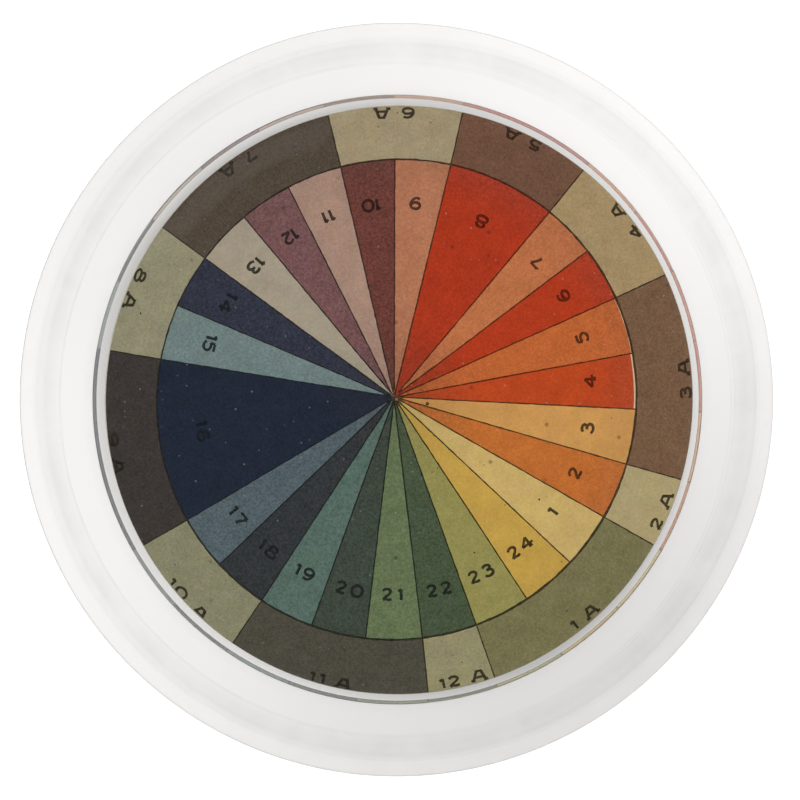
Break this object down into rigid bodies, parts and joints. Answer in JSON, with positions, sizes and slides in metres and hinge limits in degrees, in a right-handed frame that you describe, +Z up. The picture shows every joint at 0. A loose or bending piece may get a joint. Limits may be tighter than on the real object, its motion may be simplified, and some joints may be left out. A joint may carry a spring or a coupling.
{
  "type": "glass paperweight with colour circle",
  "caption": "Round clear glass paperweight: a domed lens on a thick round body, a numbered colour circle on paper glued beneath it, backing card and felt pad.",
  "frame": {"origin": "on the axis of the glass, at the underside of the felt pad, where the part rests", "axes": "+Z up along the axis of the lens; +Y towards the top of the picture, +X towards its right side"},
  "size_m": [0.0886, 0.0886, 0.0304],
  "materials": {
    "clear_glass": "polished",
    "printed_paper": "matte",
    "backing_card": "matte",
    "adhesive_film": "satin",
    "felt": "matte"
  },
  "bodies": {
    "root": {"glass_body": "clear_glass", "colour_print": "printed_paper", "backing_card": "backing_card", "pad_adhesive": "adhesive_film", "felt_pad": "felt"}
  },
  "joints": []
}
